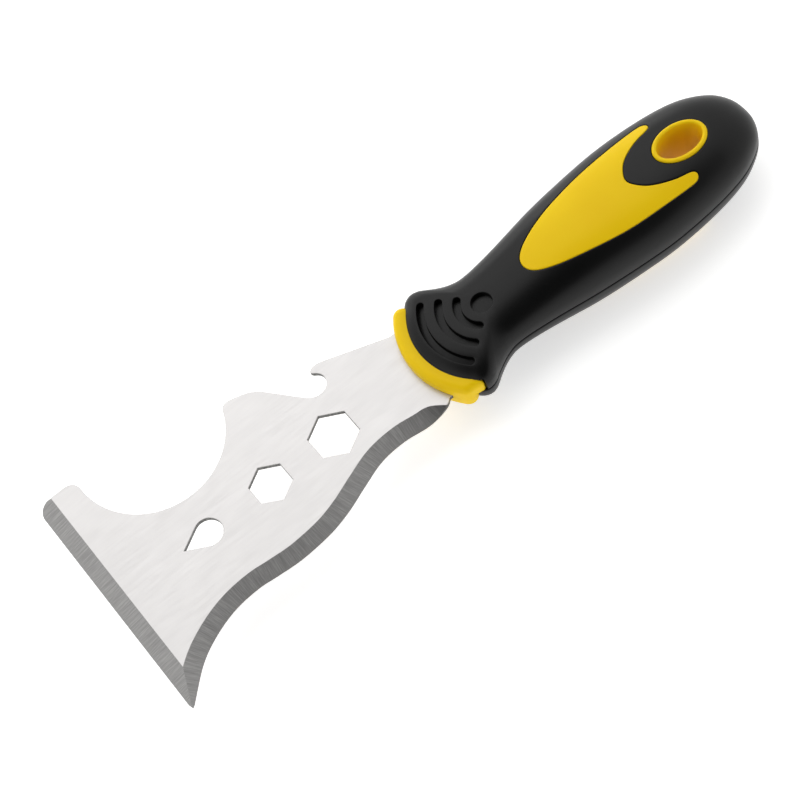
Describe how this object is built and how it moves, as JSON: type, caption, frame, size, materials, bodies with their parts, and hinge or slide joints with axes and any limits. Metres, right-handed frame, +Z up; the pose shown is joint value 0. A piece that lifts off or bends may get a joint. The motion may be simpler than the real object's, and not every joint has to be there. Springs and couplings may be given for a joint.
{
  "type": "painters multi tool",
  "caption": "Scraper plate with a roller-cleaning arc, nail puller, wrench holes and notch, on a soft-grip handle with a hang hole.",
  "frame": {"origin": "middle of the tool's footprint as it lies flat, at the height of the lowest face", "axes": "+X from the scraping edge to the handle's butt, +Y towards the roller-cleaning arc, +Z up out of the front face"},
  "size_m": [0.2266, 0.0772, 0.0259],
  "materials": {
    "stainless_plate": "satin, ground edges darker",
    "yellow_plastic": "semi gloss moulded",
    "black_soft_grip": "fine matte texture",
    "pin_steel": "plain drawn wire"
  },
  "bodies": {
    "root": {"blade": "stainless_plate", "core_front": "yellow_plastic", "core_rear": "yellow_plastic", "grip_front": "black_soft_grip", "grip_rear": "black_soft_grip", "hang_sleeve": "yellow_plastic", "tang_pin_1": "pin_steel", "tang_pin_2": "pin_steel", "tang_pin_3": "pin_steel"}
  },
  "joints": []
}
